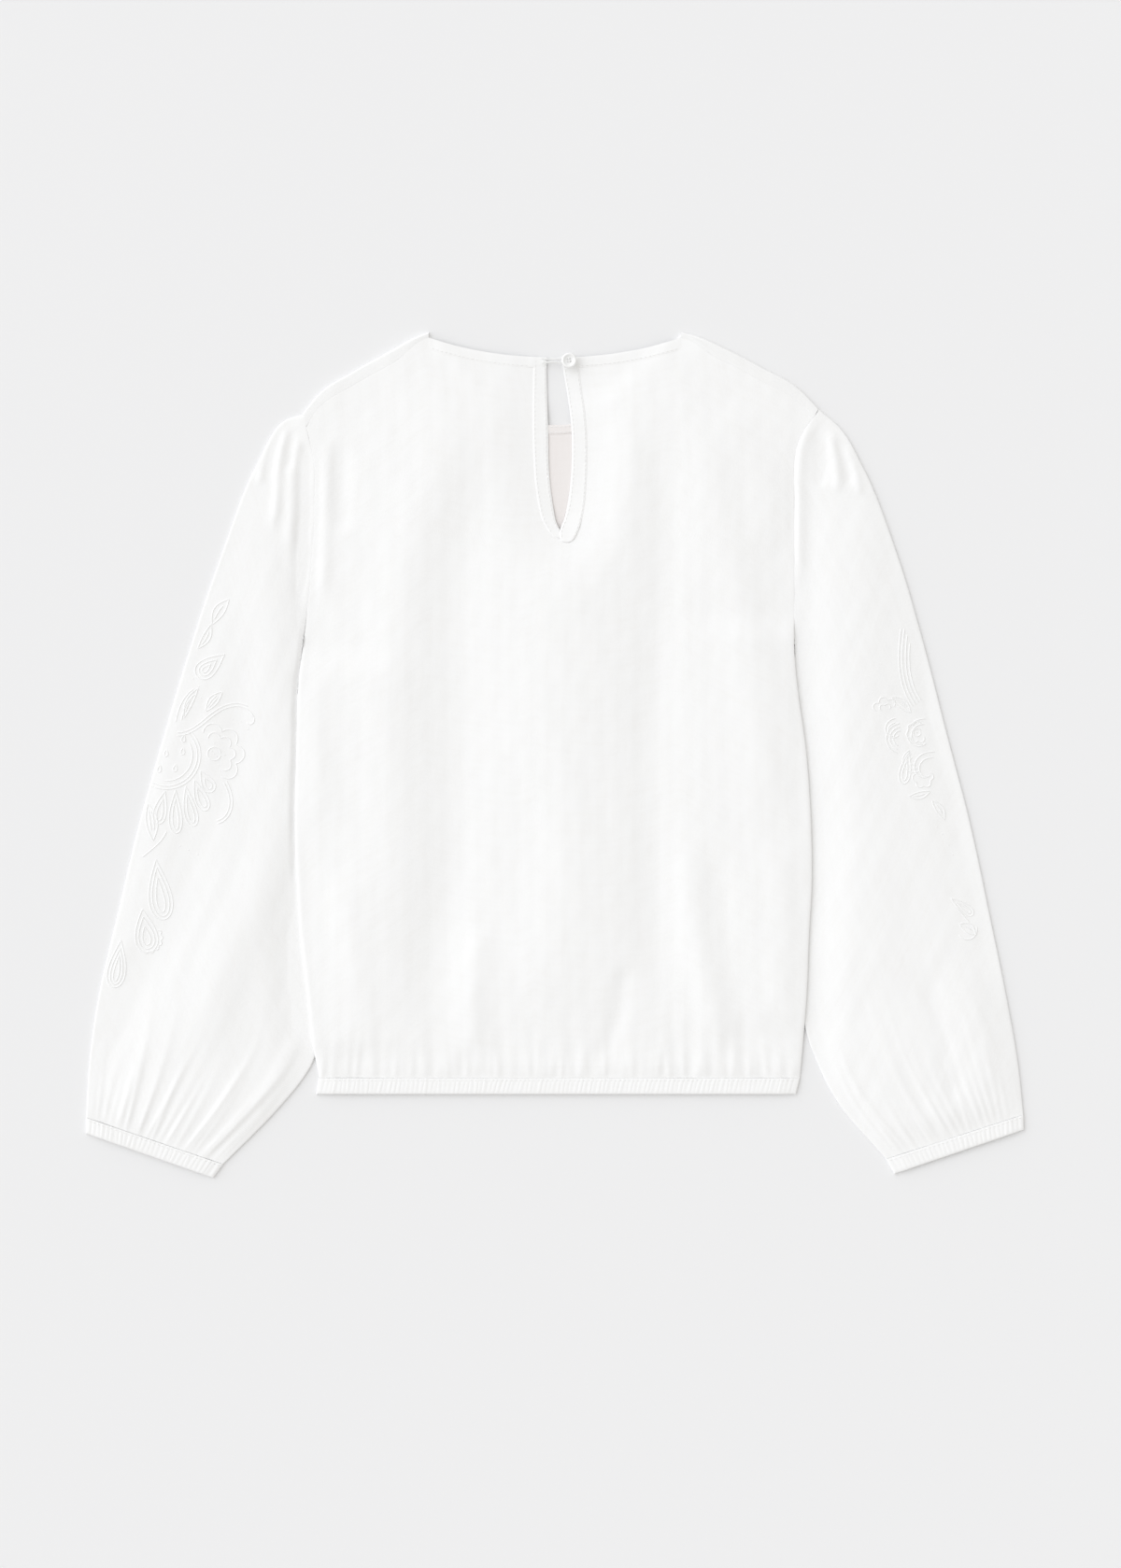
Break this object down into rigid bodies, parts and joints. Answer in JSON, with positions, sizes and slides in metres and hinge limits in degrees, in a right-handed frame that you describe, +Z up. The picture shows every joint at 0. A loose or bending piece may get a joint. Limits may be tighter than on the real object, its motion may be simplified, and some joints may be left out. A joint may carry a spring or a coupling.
{
  "type": "long-sleeved embroidered top laid flat",
  "caption": "Girl's white top with bishop sleeves, elastic cuffs and hem, and a buttoned keyhole, laid flat with its back side up.",
  "frame": {"origin": "middle of the garment's outline on the surface that it lies on", "axes": "+Z up out of the back panel, +Y towards the neck, +X towards the sleeve on the right of the view"},
  "size_m": [0.6224, 0.5612, 0.009],
  "materials": {
    "cotton": "soft white fine cotton, matt",
    "trim": "the same cotton, pressed flat and topstitched",
    "button": "glossy white",
    "thread": "white sewing and embroidery thread"
  },
  "bodies": {
    "root": {"back_panel": "cotton", "front_panel": "cotton", "sleeve_left": "cotton", "sleeve_right": "cotton", "cuff_left": "cotton", "cuff_right": "cotton", "hem_band": "cotton", "neck_binding_left": "trim", "neck_binding_right": "trim", "neck_binding_front": "trim", "keyhole_binding": "trim", "button": "button", "button_loop": "thread"}
  },
  "joints": []
}
